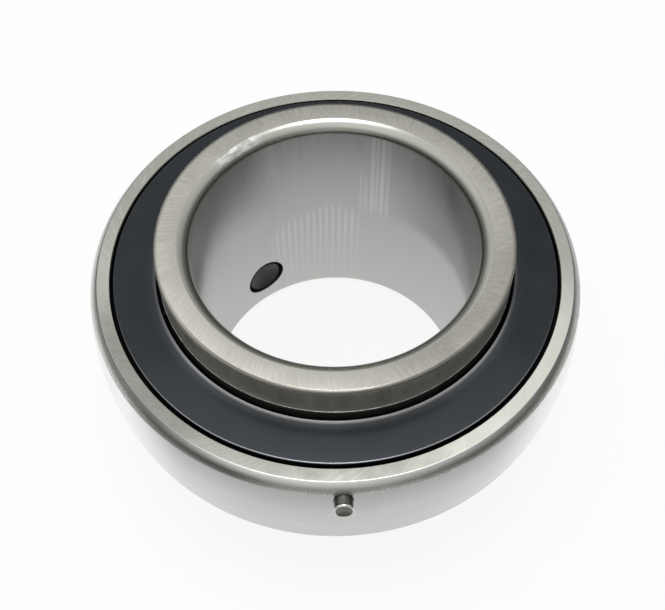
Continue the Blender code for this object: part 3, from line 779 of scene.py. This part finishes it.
# painted shade: the dark gap hardly shines
steel["gap"].node_tree.nodes["Principled BSDF"].inputs["Specular IOR Level"].default_value = 0.1
print("materials ready")


# Outer ring

outerRing = {
    "faceHeight": 11.0 * mm,
    "edgeWidth": 1.45 * mm,
    "edgeDepth": 2.0 * mm,
    "edgeBulge": 0.13 * mm,
    "edgeRound": 0.20 * mm,
    "faceInner": 40.32 * mm,
    "groove": 41.10 * mm,
    "grooveLow": 7.75 * mm,
    "grooveHigh": 8.95 * mm,
    "grooveFlank": 0.3 * mm,
    "shoulder": 2.5527 * mm,
    "cornerBreak": 0.14 * mm,
    "pinHeight": 7.6 * mm,
    "pinHoleRadius": 1.65 * mm,
    "pinHoleDepth": 2.3 * mm,
    "greaseHoleRadius": 1.0 * mm,
    "greaseHoleHeight": -6.48 * mm,
    "greaseHoleAngles": (math.radians(60.0), math.radians(180.0)),
    "cutPast": 2.0 * mm,  # how far a cutter stands past the wall it cuts
    "segments": 256,
}


def pinPlace():
    # a frame on the ball-shaped outside, square to it, with its own Z pointing outwards
    lean = math.asin(outerRing["pinHeight"] / bearing["sphereRadius"])
    tip = Matrix.Rotation(quarterTurn - lean, 4, "Y")
    out = Matrix.Translation((0.0, 0.0, bearing["sphereRadius"]))
    return Matrix.Rotation(bearing["pinAngle"], 4, "Z") @ tip @ out


def raceway(centre, shoulder, bottomAngle):
    # half of a groove's arc, from its upper shoulder to its bottom
    radius = bearing["racewayRadius"]
    opening = math.degrees(math.acos((radius - shoulder) / radius))
    start = opening if bottomAngle == 0.0 else bottomAngle - opening
    return ellipseArc((centre, 0.0), (radius, radius), start, bottomAngle, 12)


def makeOuterRing(sizes):
    sphere = bearing["sphereRadius"]
    edgeHeight = sizes["faceHeight"] - sizes["edgeDepth"]
    lean = math.degrees(math.asin(edgeHeight / sphere))
    faceOuter = math.sqrt(sphere ** 2 - edgeHeight ** 2) - sizes["edgeWidth"]
    outside = ellipseArc((0.0, 0.0), (sphere, sphere), 0.0, lean, 10)
    face = sizes["faceHeight"]
    edge = bulgedEdge(outside[-1], (faceOuter, face), sizes["edgeBulge"], 10)
    corner = roundCorner(edge[-2], (faceOuter, face), (faceOuter - 1 * mm, face), sizes["edgeRound"], 5)
    chamfer = sizes["cornerBreak"]
    inside = [
        (sizes["faceInner"] + chamfer, face),
        (sizes["faceInner"], face - chamfer),
        (sizes["faceInner"], sizes["grooveHigh"] + sizes["grooveFlank"]),
        (sizes["groove"], sizes["grooveHigh"]),
        (sizes["groove"], sizes["grooveLow"]),
        (bearing["outerLand"] + chamfer, sizes["grooveLow"]),
        (bearing["outerLand"], sizes["grooveLow"] - chamfer),
    ]
    bottom = bearing["pitchRadius"] + bearing["ballRadius"] + bearing["ballPlay"]
    groove = raceway(bottom - bearing["racewayRadius"], sizes["shoulder"], 0.0)
    half = outside + edge[:-1] + corner + inside + groove
    profile = half + mirrorHeights(half[1:-1])
    ring = turnedPiece("outerRing", profile, steel["turned"], sizes["segments"])
    greaseHoles = [radialPlace(angle, 0.0, sizes["greaseHoleHeight"]) for angle in sizes["greaseHoleAngles"]]
    pinHole, pinDepth, past = sizes["pinHoleRadius"], sizes["pinHoleDepth"], sizes["cutPast"]
    cutters = [roundCutter("pinHole", pinHole, -pinDepth, past, 48, pinPlace())]
    low, high = bearing["outerLand"] - past, sphere + past
    for place in greaseHoles:
        cutters.append(roundCutter("greaseHole", sizes["greaseHoleRadius"], low, high, 40, place))
    cutAway(ring, cutters)

    def regionOf(spot):
        radius, height = math.hypot(spot.x, spot.y), abs(spot.z)
        if math.hypot(radius, height) > sphere - 0.03 * mm and height < edgeHeight:
            return "sphere"
        if insideHole(spot, pinPlace(), pinHole, -pinDepth - 0.1 * mm, past):
            return "hole"
        if any(insideHole(spot, place, sizes["greaseHoleRadius"], bearing["outerLand"], sphere)
               for place in greaseHoles):
            return "turned"
        if radius > faceOuter - 0.25 * mm:
            return "edge"
        if height > face - 0.6 * mm:
            return "outerFace"
        if height > sizes["grooveLow"] - 0.1 * mm:
            return "scale"
        return "raceway" if radius > bearing["outerLand"] + 0.05 * mm else "turned"

    paintRegions(ring, regionOf)
    settle(ring, sharpAngle=20.0)
    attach(ring, "outer")
    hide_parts("outer_ring")


makeOuterRing(outerRing)
print("outer ring ready")


# Inner ring

innerRing = {
    "shortSide": 19.0 * mm,
    "longSide": 32.6 * mm,
    "corner": 0.68 * mm,
    "cornerDrop": 0.62 * mm,
    "bevelStart": 65.0,  # where the bevel's arc starts, in degrees, counted from the wall
    "edgeRound": 0.08 * mm,
    "mouthWidth": 2.05 * mm,
    "seatLow": 9.2 * mm,  # the flinger's seat, a hair wider than the wall above it
    "seatHigh": 12.88 * mm,
    "seatStep": 0.07 * mm,
    "mouthCurve": ((0.0, 2.3 * mm), (0.19 * mm, 1.12 * mm), (0.95 * mm, 0.31 * mm), (2.05 * mm, 0.0)),
    "shoulder": 2.9464 * mm,
    "racewayHalf": 7.0 * mm,  # no part of the raceway lies further from the balls' plane
    "screwHoleRadius": 4.46 * mm,
    "screwHeight": -22.9 * mm,
    "screwAngles": (math.radians(155.7), math.radians(35.7)),
    # rows of points that keep the faces cut by the screws' holes apart from the rest of the wall
    "lowWallHeights": (-14.5 * mm, -17.0 * mm, -28.9 * mm, -30.4 * mm),
    "cutPast": 2.0 * mm,
    "segments": 256,
}


def makeInnerRing(sizes):
    bore = bearing["boreRadius"]
    land = bearing["innerLand"]
    cornerRadius = land - sizes["corner"]
    mouthRadius = bore + sizes["mouthWidth"]
    bottom = bearing["pitchRadius"] - bearing["ballRadius"] - bearing["ballPlay"]
    groove = raceway(bottom + bearing["racewayRadius"], sizes["shoulder"], 180.0)

    def end(top):
        # one end from the bore to the outside: a rounded mouth, the face, a nearly sharp edge and its bevel
        mouth = curvePoints([Vector((bore + out, top - down)) for out, down in sizes["mouthCurve"]], 16)
        towards = (cornerRadius + 0.3 * mm, top - 0.14 * mm)
        edge = roundCorner((mouthRadius, top), (cornerRadius, top), towards, sizes["edgeRound"], 3)
        centre, radii = (cornerRadius, top - sizes["cornerDrop"]), (sizes["corner"], sizes["cornerDrop"])
        return mouth + edge + ellipseArc(centre, radii, sizes["bevelStart"], 0.0, 7)

    low, high = sizes["seatLow"], sizes["seatHigh"]
    seat = [(land, high + 0.05 * mm), (land + 0.03 * mm, high + 0.04 * mm), (land + sizes["seatStep"], high),
            (land + sizes["seatStep"], low), (land, low - 0.1 * mm)]
    half = groove + mirrorHeights(groove[:-1])
    lowWall = [(land, height) for height in sizes["lowWallHeights"]]
    upper, lower = end(sizes["shortSide"]) + seat, mirrorHeights(end(sizes["longSide"]))
    profile = upper + half + mirrorHeights(seat) + lowWall + lower
    ring = turnedPiece("innerRing", profile, steel["turned"], sizes["segments"])
    holes = [radialPlace(angle, 0.0, sizes["screwHeight"]) for angle in sizes["screwAngles"]]
    hole, past = sizes["screwHoleRadius"], sizes["cutPast"]
    cutAway(ring, [roundCutter("screwHole", hole, bore - past, land + past, 64, place) for place in holes])

    def regionOf(spot):
        radius = math.hypot(spot.x, spot.y)
        inWall = bore + 0.05 * mm < radius < land - 0.05 * mm
        if inWall and any(insideHole(spot, place, hole, 0.0, land) for place in holes):
            return "hole"
        if radius < bore + 0.02 * mm:
            return "bore"
        if radius < mouthRadius - 0.02 * mm:
            return "mouth"
        if radius < cornerRadius + 0.04 * mm:
            return "innerFace"
        # the seat's top edge, painted lighter as a reflection of the flinger's lit edge
        if abs(abs(spot.z) - sizes["seatHigh"] - 0.02 * mm) < 0.04 * mm:
            return "seatLine"
        if radius < land - 0.02 * mm and abs(spot.z) > sizes["shortSide"] - sizes["cornerDrop"]:
            return "bevel"
        return "wall" if abs(spot.z) > sizes["racewayHalf"] else "raceway"

    paintRegions(ring, regionOf)
    settle(ring, sharpAngle=20.0)
    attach(ring, "inner")
    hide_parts("inner_ring")


makeInnerRing(innerRing)
print("inner ring ready")


# Set screws

setScrew = {
    "radius": 4.31 * mm,
    "length": 9.5 * mm,
    "tipRadius": 25.55 * mm,  # where the point lies when the screw is slack
    "pitch": 1.0 * mm,
    "threadDepth": 0.40 * mm,
    "chamfer": 0.6 * mm,
    "pointRadius": 3.75 * mm,
    "pointLength": 0.9 * mm,
    "cupRim": 0.3 * mm,
    "cupDepth": 1.6 * mm,
    "socketWidth": 5.0 * mm,
    "socketDepth": 4.6 * mm,
    "socketTurn": math.radians(12.0),
}


def makeSetScrews(sizes):
    radius = sizes["radius"]
    threadLow = sizes["pointLength"]
    threadHigh = sizes["length"] - sizes["chamfer"]
    rows = round((threadHigh - threadLow) / sizes["pitch"] * 8)
    start = [
        (0.0, sizes["cupDepth"]),
        (sizes["pointRadius"] - sizes["cupRim"], 0.08 * mm),
        (sizes["pointRadius"] - sizes["cupRim"] * 0.6, 0.0),
        (sizes["pointRadius"] - sizes["cupRim"] * 0.3, 0.0),
        (sizes["pointRadius"], 0.15 * mm),
    ]
    side = [(radius, threadLow + (threadHigh - threadLow) * i / rows) for i in range(rows + 1)]
    end = [(radius - sizes["chamfer"], sizes["length"]), (0.0, sizes["length"])]
    profile = start + side + end
    threaded = [0.0] * len(start) + [1.0] * len(side) + [0.0] * len(end)
    for number, angle in enumerate(innerRing["screwAngles"], start=1):
        screw = turnedPiece(
            f"setScrew{number}", profile, steel["screw"], 64, closed=False, threaded=threaded,
            pitch=sizes["pitch"], depth=sizes["threadDepth"],
        )
        cutAway(screw, [roundCutter(
            "socket", sizes["socketWidth"] / math.sqrt(3.0), sizes["length"] - sizes["socketDepth"],
            sizes["length"] + 1 * mm, 6, Matrix.Rotation(sizes["socketTurn"], 4, "Z"),
        )])
        settle(screw, radialPlace(angle, sizes["tipRadius"], innerRing["screwHeight"]), 24.0)
        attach(screw, f"screw_{number}")
        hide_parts(f"set_screw_{number}")


makeSetScrews(setScrew)
print("set screws ready")


# Flingers

flinger = {
    "inner": 31.7 * mm,
    "holeEdge": 32.12 * mm,
    "outer": 39.70 * mm,
    "top": 11.2 * mm,
    "sheet": 0.8 * mm,
    "bend": 1.2 * mm,
    "foot": 9.45 * mm,
    "edgeBreak": 0.06 * mm,
    "lipWidth": 1.9 * mm,
    "lipRise": 0.07 * mm,
    "edgeRound": 0.22 * mm,
    "footBevel": 0.18 * mm,
    "topSkin": 0.12 * mm,  # how far below the top the sheet still shows
}


def makeFlingers(sizes):
    top, inner, bevel = sizes["top"], sizes["inner"], sizes["footBevel"]
    under = top - sizes["sheet"]
    collar = inner + sizes["sheet"]
    insideBend = sizes["bend"] - sizes["sheet"]
    start = collar + insideBend
    rim = filletCorners([(start, top), (sizes["outer"], top), (sizes["outer"], under), (start, under)],
                        sizes["edgeRound"], 6)
    foot = [(collar, sizes["foot"] + bevel), (collar - bevel, sizes["foot"]),
            (inner + bevel, sizes["foot"]), (inner, sizes["foot"] + bevel)]
    # the top rises a little towards the hole, to a nearly sharp edge
    edge, rise = sizes["holeEdge"], sizes["lipRise"]
    lip = [(inner, under), (edge, top + rise - sizes["topSkin"])]
    for step in range(13):
        share = step / 12
        lip.append((edge + sizes["edgeBreak"] + sizes["lipWidth"] * share, top + rise * (1 - share) ** 2))
    bend = ellipseArc((start, under - insideBend), (insideBend, insideBend), 90.0, 180.0, 5)
    profile = rim[7:21] + bend + foot + lip

    halves = (("flingerUpper", "flinger_upper", 0.0), ("flingerLower", "flinger_lower", math.pi))
    for name, node, flip in halves:
        piece = turnedPiece(name, profile, steel["flinger"], 224)
        # below the top the flinger is painted black as shade in the gap
        paintRegions(piece, lambda spot: "flinger" if spot.z > top - sizes["topSkin"] else "gap")
        settle(piece, Matrix.Rotation(flip, 4, "X"))
        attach(piece, "inner")
        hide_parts(node)


makeFlingers(flinger)
print("flingers ready")


# Seals: a steel plate and a rubber lip on each side

seal = {
    "outer": 40.80 * mm,
    "inner": 34.1 * mm,
    "base": 8.05 * mm,
    "sheet": 0.6 * mm,
    "rise": 0.5 * mm,
    "lipInner": 31.7 * mm,
    "lipOuter": 33.8 * mm,
    "lipThickness": 0.6 * mm,
    "lipDrop": 0.9 * mm,
}


def makeSeals(sizes):
    top = sizes["base"] + sizes["sheet"]
    bend = (sizes["outer"] + sizes["inner"]) / 2
    plate = filletCorners([
        (sizes["outer"], sizes["base"]),
        (sizes["outer"], top),
        (bend, top),
        (sizes["inner"], top + sizes["rise"]),
        (sizes["inner"], sizes["base"] + sizes["rise"]),
        (bend, sizes["base"]),
    ], 0.15 * mm, 3)
    lipTop = top + sizes["rise"]
    tip = lipTop - sizes["lipDrop"]
    lip = filletCorners([
        (sizes["lipOuter"], lipTop),
        (sizes["lipOuter"], sizes["base"] + sizes["rise"]),
        (sizes["lipInner"] + sizes["lipThickness"], tip - sizes["lipThickness"]),
        (sizes["lipInner"], tip - sizes["lipThickness"] / 2),
        (sizes["lipInner"], tip),
    ], 0.12 * mm, 3)

    def plateRegion(spot):
        # painted shade where the plate's rim shows beside the flinger
        return "gap" if math.hypot(spot.x, spot.y) > bearing["outerLand"] else "plate"

    for side, flip in (("upper", 0.0), ("lower", math.pi)):
        for name, profile, material, slot in (
            ("sealPlate", plate, steel["plate"], "zinc_steel"), ("sealLip", lip, steel["rubber"], "rubber"),
        ):
            piece = turnedPiece(name + side.title(), profile, material, 128)
            if name == "sealPlate":
                paintRegions(piece, plateRegion)
            settle(piece, Matrix.Rotation(flip, 4, "X"))
            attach(piece, "outer")
            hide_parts(("seal_plate_" if name == "sealPlate" else "seal_lip_") + side)


makeSeals(seal)
print("seals ready")


# Locking pin

lockingPin = {
    "radius": 1.55 * mm,
    "reach": 2.1 * mm,
    "seatDepth": 2.0 * mm,
    "rimRadius": 1.75 * mm,
    "bevel": 0.3 * mm,
    "flare": 0.3 * mm,
    "cupDepth": 0.9 * mm,
}


def makeLockingPin(sizes):
    radius, reach, rimRadius, bevel = [sizes[label] for label in ("radius", "reach", "rimRadius", "bevel")]
    profile = [
        (0.0, reach - sizes["cupDepth"]),
        (rimRadius - bevel - 0.06 * mm, reach - 0.04 * mm),
        (rimRadius - bevel, reach),
        (rimRadius - bevel * 0.4, reach - bevel * 0.25),
        (rimRadius - bevel * 0.08, reach - bevel * 0.75),
        (rimRadius, reach - bevel * 1.1),
        (radius + 0.02 * mm, reach - bevel - sizes["flare"]),
        (radius, reach - bevel - sizes["flare"] * 1.6),
        (radius, 0.1 * mm - sizes["seatDepth"]),
        (radius - 0.1 * mm, -sizes["seatDepth"]),
        (0.0, -sizes["seatDepth"]),
    ]
    pin = turnedPiece("lockingPin", profile, steel["pin"], 48, closed=False)

    def regionOf(spot):
        onRim = spot.z > reach - bevel * 1.2 and math.hypot(spot.x, spot.y) > rimRadius - bevel * 1.15
        return "pinRim" if onRim else "pin"

    paintRegions(pin, regionOf)
    settle(pin, pinPlace())
    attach(pin, "outer")
    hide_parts("locking_pin")


makeLockingPin(lockingPin)
print("locking pin ready")


# Balls

def makeBalls(segments=40):
    for number in range(bearing["ballCount"]):
        angle = bearing["firstBallAngle"] + math.tau * number / bearing["ballCount"]
        radius = bearing["ballRadius"]
        profile = ellipseArc((0.0, 0.0), (radius, radius), 90.0, -90.0, segments // 2)
        profile[0] = (0.0, radius)
        profile[-1] = (0.0, -radius)
        ball = turnedPiece(f"ball{number + 1:02d}", profile, steel["ball"], segments, closed=False)
        spot = (bearing["pitchRadius"] * math.cos(angle), bearing["pitchRadius"] * math.sin(angle), 0.0)
        settle(ball, Matrix.Translation(spot))
        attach(ball, f"rolling_ball_{number + 1:02d}")
        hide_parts(f"ball_{number + 1:02d}")


makeBalls()
print("balls ready")


# Cage

cage = {
    "pocketGap": 0.3 * mm,
    "sheet": 0.8 * mm,
    "width": 5.207 * mm,
    "webGap": 0.3 * mm,
    "pocketSteps": 24,
    "rivetRadius": 1.0 * mm,
    "rivetHeadRadius": 1.6 * mm,
    "rivetHeadRise": 0.885 * mm,
    "rivetGap": 0.15 * mm,
}


def makeCage(sizes):
    pocket = bearing["ballRadius"] + sizes["pocketGap"]
    top = pocket + sizes["sheet"]
    webLow = sizes["webGap"] / 2
    webHigh = webLow + sizes["sheet"]
    lowFoot = math.degrees(math.asin(webLow / pocket))
    highFoot = math.degrees(math.asin(webHigh / top))
    underside = ellipseArc((0.0, 0.0), (pocket, pocket), 180.0 - lowFoot, lowFoot, sizes["pocketSteps"])
    topSide = ellipseArc((0.0, 0.0), (top, top), 180.0 - highFoot, highFoot, sizes["pocketSteps"])
    inner = bearing["pitchRadius"] - sizes["width"] / 2
    outer = bearing["pitchRadius"] + sizes["width"] / 2
    first = bearing["firstBallAngle"]
    over = Vector((math.cos(first), math.sin(first), 0.0))  # the line over which the lower half is turned
    for name, node, flip in (("cageUpper", "cage_upper", 0.0), ("cageLower", "cage_lower", math.pi)):
        shape = bmesh.new()
        loops = []
        for number in range(bearing["ballCount"]):
            turn = Matrix.Rotation(first + math.tau * number / bearing["ballCount"], 3, "Z")
            for low, high in zip(underside, topSide):
                loop = []
                for radius, (along, height) in ((inner, low), (outer, low), (outer, high), (inner, high)):
                    across = math.sqrt(radius ** 2 - along ** 2)
                    loop.append(shape.verts.new(turn @ Vector((across, along, height))))
                loops.append(loop)
        for loop, following in zip(loops, loops[1:] + loops[:1]):
            for corner in range(4):
                after = (corner + 1) % 4
                shape.faces.new((loop[corner], loop[after], following[after], following[corner]))
        bmesh.ops.recalc_face_normals(shape, faces=shape.faces)
        mesh = bpy.data.meshes.new(name)
        shape.to_mesh(mesh)
        shape.free()
        mesh.materials.append(steel["cage"])
        half = linkedObject(name, mesh)
        settle(half, Matrix.Rotation(flip, 4, over))
        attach(half, "cage")
        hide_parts(node)
    footAngle = math.asin(math.sqrt(top ** 2 - webHigh ** 2) / bearing["pitchRadius"])
    webRadius = bearing["pitchRadius"] * math.cos(math.pi / bearing["ballCount"] - footAngle)
    headBase = webHigh + sizes["rivetGap"]
    head = ellipseArc((0.0, headBase), (sizes["rivetHeadRadius"], sizes["rivetHeadRise"]), 90.0, 0.0, 8)
    head[0] = (0.0, headBase + sizes["rivetHeadRise"])
    upper = head + [(sizes["rivetRadius"], headBase)]
    rivet = turnedPiece("rivet", upper + mirrorHeights(upper), steel["rivet"], 24, closed=False)
    runTree(rivet, patternTree, {
        "Count": bearing["ballCount"], "Radius": webRadius, "Height": 0.0,
        "First Angle": first + math.pi / bearing["ballCount"], "Material": steel["rivet"],
    })
    rivet.name = "cageRivets"
    settle(rivet)
    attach(rivet, "cage")
    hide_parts(*[f"cage_rivet_{number + 1:02d}" for number in range(bearing["ballCount"])])


makeCage(cage)
print("cage ready")


# Studio: floor, world, lamps and camera

studio = {
    "floorSize": 0.34,
    "floorColour": (0.93, 0.93, 0.93),
    "floorGlow": 0.88,  # how much of the floor is plain white to the camera and in reflections
    "roomTop": 0.95,  # brightness of the room overhead
    "roomHorizon": 0.12,
    "roomFront": 0.28,  # how much brighter the horizon is on the camera's side
    "roomLeft": 0.45,  # how much brighter the left is than the right
    "roomBack": 0.30,  # how much darker the back is, low down
    "softboxPlace": (0.0, -0.03, 0.95),
    "softboxSize": 0.34,
    "softboxPower": 1.9,
}

# The camera's place and angle come from the ellipses of the rims in the photograph.
cameraView = {
    "lens": 53.316,
    "distance": 186.51 * mm,
    "elevation": math.radians(56.112),
    "turn": math.radians(28.8),
    "sideways": -0.20 * mm,
    "yaw": -0.001779,
    "pitch": -0.010450,
    "roll": -0.011518,
}


def makeFloor():
    mesh = bpy.data.meshes.new("floor")
    half = studio["floorSize"] / 2
    corners = [(-half, -half, 0), (half, -half, 0), (half, half, 0), (-half, half, 0)]
    mesh.from_pydata(corners, [], [(0, 1, 2, 3)])
    floor = linkedObject("floor", mesh)
    material, shader = newMaterial("floorWhite", studio["floorColour"], 0.0, 0.6)
    nodes = Nodes(material.node_tree)
    # seen directly or in the metal the floor is mostly plain white, and the rest keeps the shadow
    path = nodes.add("ShaderNodeLightPath").outputs
    seen = nodes.math("MAXIMUM", path["Is Camera Ray"], path["Is Glossy Ray"])
    seen = nodes.math("MAXIMUM", seen, path["Is Transmission Ray"])
    glow = nodes.add("ShaderNodeEmission").outputs[0]
    inputs = {0: nodes.times(seen, studio["floorGlow"]), 1: shader.outputs[0], 2: glow}
    mixed = nodes.add("ShaderNodeMixShader", inputs).outputs[0]
    nodes.put(nodes.tree.nodes["Material Output"].inputs["Surface"], mixed)
    mesh.materials.append(material)


def makeWorld():
    world = bpy.data.worlds.new("studioWorld")
    bpy.context.scene.world = world
    world.use_nodes = True
    nodes = Nodes(world.node_tree)
    background = world.node_tree.nodes["Background"].inputs
    background["Color"].default_value = (1.0, 1.0, 1.0, 1.0)
    direction = nodes.add("ShaderNodeTexCoord").outputs["Generated"]
    x, y, z = nodes.split(nodes.mapped(direction, turn=-bearing["pinSide"]))
    level = nodes.ease(z, 0.0, 0.70, studio["roomHorizon"], studio["roomTop"])
    front = nodes.ease(y, -0.75, -0.97, 0.0, studio["roomFront"])
    level = nodes.math("MAXIMUM", level, nodes.math("ADD", front, studio["roomHorizon"]))
    side = nodes.ramp(x, -0.6, 0.6, 1 + studio["roomLeft"] / 2, 1 - studio["roomLeft"] / 2)
    back = nodes.ramp(y, 0.35, 0.95, 1.0, 1 - studio["roomBack"])
    level = nodes.times(level, side, back)
    plain = nodes.add("ShaderNodeLightPath").outputs["Is Camera Ray"]
    # what the camera sees past the floor is white
    nodes.put(background["Strength"], nodes.math("MAXIMUM", level, plain))


def makeLamp():
    lamp = bpy.data.lights.new("softbox", "AREA")
    lamp.shape = "DISK"
    lamp.size = studio["softboxSize"]
    lamp.energy = studio["softboxPower"]
    stand = linkedObject("softbox", lamp)
    stand.location = Matrix.Rotation(bearing["pinSide"], 3, "Z") @ Vector(studio["softboxPlace"])
    aim = Vector((0.0, 0.0, bearing["ballPlane"])) - stand.location
    stand.rotation_euler = aim.to_track_quat("-Z", "Y").to_euler()


def makeCamera(view):
    elevation = view["elevation"]
    forward = Vector((0.0, math.cos(elevation), -math.sin(elevation)))
    right = Vector((1.0, 0.0, 0.0))
    up = right.cross(forward)

    def tilt(first, second, angle):
        # turns two of the camera's directions about the third
        cosine, sine = math.cos(angle), math.sin(angle)
        return first * cosine + second * sine, second * cosine - first * sine

    forward, right = tilt(forward, right, view["yaw"])
    forward, up = tilt(forward, up, view["pitch"])
    right, up = tilt(right, up, view["roll"])
    distance = view["distance"]
    spot = Vector((view["sideways"], -distance * math.cos(elevation), distance * math.sin(elevation)))
    axes = Matrix((right, up, -forward)).transposed().to_4x4()
    data = bpy.data.cameras.new("camera")
    data.lens = view["lens"]
    data.sensor_width = 36.0
    camera = linkedObject("camera", data)
    lift = Matrix.Translation((0.0, 0.0, bearing["ballPlane"]))
    camera.matrix_world = lift @ Matrix.Rotation(view["turn"], 4, "Z") @ Matrix.Translation(spot) @ axes
    data.clip_start = 0.01
    bpy.context.scene.camera = camera


makeFloor()
makeWorld()
makeLamp()
makeCamera(cameraView)
bpy.context.scene.view_settings.view_transform = "Standard"
print("studio ready")
